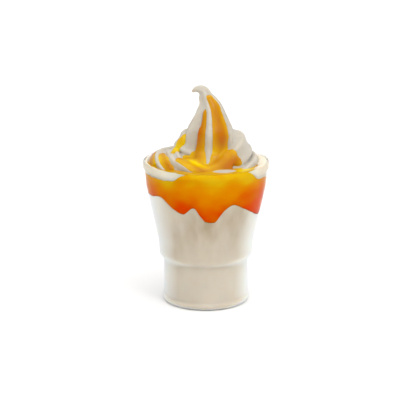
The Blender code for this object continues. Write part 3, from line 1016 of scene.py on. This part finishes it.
def islands(work):
    """The points of each connected piece, the largest piece last."""
    found, seen = [], set()
    for start in work.verts:
        if start in seen:
            continue
        seen.add(start)
        island, to_visit = [], [start]
        while to_visit:
            vert = to_visit.pop()
            island.append(vert)
            for edge in vert.link_edges:
                other = edge.other_vert(vert)
                if other not in seen:
                    seen.add(other)
                    to_visit.append(other)
        found.append(island)
    return sorted(found, key=len)


def cut_below(mesh, height):
    """Cuts the mesh flat at a height, closes the cut and takes out any pocket inside."""
    work = bmesh.new()
    work.from_mesh(mesh)
    everything = work.verts[:] + work.edges[:] + work.faces[:]
    bmesh.ops.bisect_plane(
        work, geom=everything, plane_co=(0, 0, height), plane_no=(0, 0, -1), clear_outer=True
    )
    edges = [edge for edge in work.edges if edge.is_boundary]
    bmesh.ops.holes_fill(work, edges=edges)
    for pocket in islands(work)[:-1]:
        bmesh.ops.delete(work, geom=pocket, context="VERTS")
    work.to_mesh(mesh)
    work.free()
    return mesh


def ragged(points):
    """How far a sauce's edge wanders, for an array of points of any shape."""
    return noise_at(points.reshape(-1, 3), RAGGED).reshape(points.shape[:-1])


def over_sauce(place):
    """A place in metres, from one in millimetres whose height is over the sauce level."""
    return np.array(place) * MILLIMETRE + (0, 0, SAUCE_LEVEL)


def raised(cream, cover, surface):
    """Radius of a sauce that comes out of the cream to a surface where cover is 1."""
    return cream - HIDDEN + cover * (surface + HIDDEN - cream)


def bare(centres, radii, cream, angles, out):
    """The cream's own surface."""
    return cream


def spire_sauce(centres, radii, cream, angles, out):
    """Sauce in the spire's flutes, and hidden under the cream beside them."""
    height = np.broadcast_to(centres[:, 2][:, None], cream.shape)
    away = (angles + 180) % 360 - 180
    radius = cream - HIDDEN
    rough = ragged(centres[:, None, :] + out * cream[:, :, None]) / radii[:, None]
    for middle, top, bottom, wide_top, wide_bottom, fill_top, fill_bottom in STREAMS:
        share = np.clip((height - bottom) / (top - bottom), 0, 1)
        half = wide_bottom + (wide_top - wide_bottom) * share
        fill = fill_bottom + (fill_top - fill_bottom) * share
        side = half - np.abs(away - middle)[None, :] + np.degrees(rough)
        cover = smooth_array(side / STREAM_EDGE) * smooth_array((top - height) / STREAM_END)
        radius = np.maximum(radius, raised(cream, cover, radii[:, None] * fill))
    return radius


def covers(centres, radii, out):
    """For each pour, how full of the radius it is, and how much of it lies at each place."""
    places = centres[:, None, :] + out * radii[:, None, None] * POUR_AT
    rough = ragged(places)
    for fill, path in POURS:
        cover = np.full(rough.shape, -1.0)
        for start, end in zip(path, path[1:]):
            a, b = over_sauce(start[:3]), over_sauce(end[:3])
            along = np.clip((places - a) @ (b - a) / ((b - a) @ (b - a)), 0, 1)
            away = np.linalg.norm(places - a - along[:, :, None] * (b - a), axis=2)
            reach = (start[3] + (end[3] - start[3]) * along) * MILLIMETRE
            cover = np.maximum(cover, (reach - away + rough) / POUR_EDGE)
        yield fill, smooth_array(cover)


def coil_sauce(centres, radii, cream, angles, out):
    """Sauce over the coil where it was poured, and hidden under the cream elsewhere."""
    radius = cream - HIDDEN
    for fill, cover in covers(centres, radii, out):
        radius = np.maximum(radius, raised(cream, cover, radii[:, None] * fill))
    return radius


def film(centres, radii, cream, angles, out):
    """A thin film of the sauce that was poured."""
    radius = cream - HIDDEN
    for _, cover in covers(centres, radii, out):
        radius = np.maximum(radius, cream - HIDDEN + cover * (FILM + HIDDEN))
    return radius


def sauce_shades_and_light_at(points):
    """The changes of the sauce's shades, partly painted light and shade, at each point."""
    total = np.zeros(len(points))
    for x, y, high, reach, change in SAUCE_SHADES_AND_PAINTED_LIGHT:
        spot = over_sauce((x, y, high))
        apart = np.linalg.norm(points - spot, axis=1) / (reach * MILLIMETRE)
        total += change * np.exp(-(apart**2))
    return total


def build_swirl():
    coil, spire, saddle = coil_stations(), spire_stations(), short_stations(SADDLE)
    ropes = [coil, spire, short_stations(STREAK), saddle]
    mesh = cut_below(fused([tube(rope, bare) for rope in ropes]), SWIRL_FROM)
    points = relaxed(mesh, positions(mesh), CREAM_RELAXING)
    smoother = relaxed(mesh, points, CURL_RELAXING)
    share = smooth_array((points[:, 2] - CURL_FROM) / CURL_RADIUS)[:, None]
    points += share * (smoother - points)
    set_positions(mesh, points)
    high = smooth_array((points[:, 2] - SAUCE_LEVEL) / SWIRL_LUMPS_FROM)
    lumps = noise_at(points, LUMPS) * high
    set_positions(mesh, points + vertex_normals(mesh) * lumps[:, None])
    adopt("soft_serve_swirl", mesh, "swirl", swirl_cream)

    tubes = [tube(coil, coil_sauce), tube(spire, spire_sauce), tube(saddle, film)]
    sauce = cut_below(fused(tubes), SWIRL_FROM)
    set_positions(sauce, relaxed(sauce, positions(sauce), SAUCE_RELAXING))
    cream = BVHTree.FromPolygons(
        [v.co for v in mesh.vertices], [p.vertices for p in mesh.polygons]
    )
    away = np.array([cream.find_nearest(v.co)[3] for v in sauce.vertices])
    depth = THIN_DEPTH + (THICK_DEPTH - THIN_DEPTH) * away / FULL_DEPTH
    measure(sauce, "depth", depth + sauce_shades_and_light_at(positions(sauce)))
    adopt("mango_pour", sauce, "swirl", mango)


# ---------------------------------------------------------------- floor, light and camera
def build_stage():
    """A wide pale floor and an even white sky."""
    mesh = bpy.data.meshes.new("floor")
    work = bmesh.new()
    bmesh.ops.create_circle(work, cap_ends=True, segments=96, radius=FLOOR_RADIUS)
    work.to_mesh(mesh)
    work.free()
    floor = bpy.data.objects.new("floor", mesh)
    bpy.context.scene.collection.objects.link(floor)
    mesh.materials.append(floor_material())

    world = bpy.data.worlds.new("studio")
    bpy.context.scene.world = world
    world.use_nodes = True
    back = world.node_tree.nodes["Background"]
    back.inputs["Color"].default_value = (1.0, 1.0, 1.0, 1.0)
    back.inputs["Strength"].default_value = WORLD_STRENGTH


def sun_light(name, direction, angle, power):
    data = bpy.data.lights.new(name, "SUN")
    data.angle = math.radians(angle)
    data.energy = power
    light = bpy.data.objects.new(name, data)
    bpy.context.scene.collection.objects.link(light)
    light.rotation_euler = Vector(direction).to_track_quat("-Z", "Y").to_euler()


def build_camera():
    data = bpy.data.cameras.new("camera")
    data.sensor_width = CAMERA_SENSOR
    data.lens = CAMERA_LENS
    camera = bpy.data.objects.new("camera", data)
    bpy.context.scene.collection.objects.link(camera)
    camera.location = CAMERA_PLACE
    camera.rotation_euler = (math.pi / 2 - CAMERA_DIP, 0.0, 0.0)
    bpy.context.scene.camera = camera


build_cup()
build_fill()
build_sauce()
build_rim_cream()
build_swirl()
build_stage()
sun_light("overhead", direction=(-0.15, 0.3, -1.0), angle=90.0, power=1.95)
sun_light("window", direction=(-0.5, 0.75, -1.0), angle=14.0, power=0.3)
build_camera()
bpy.context.scene.view_settings.view_transform = "Standard"
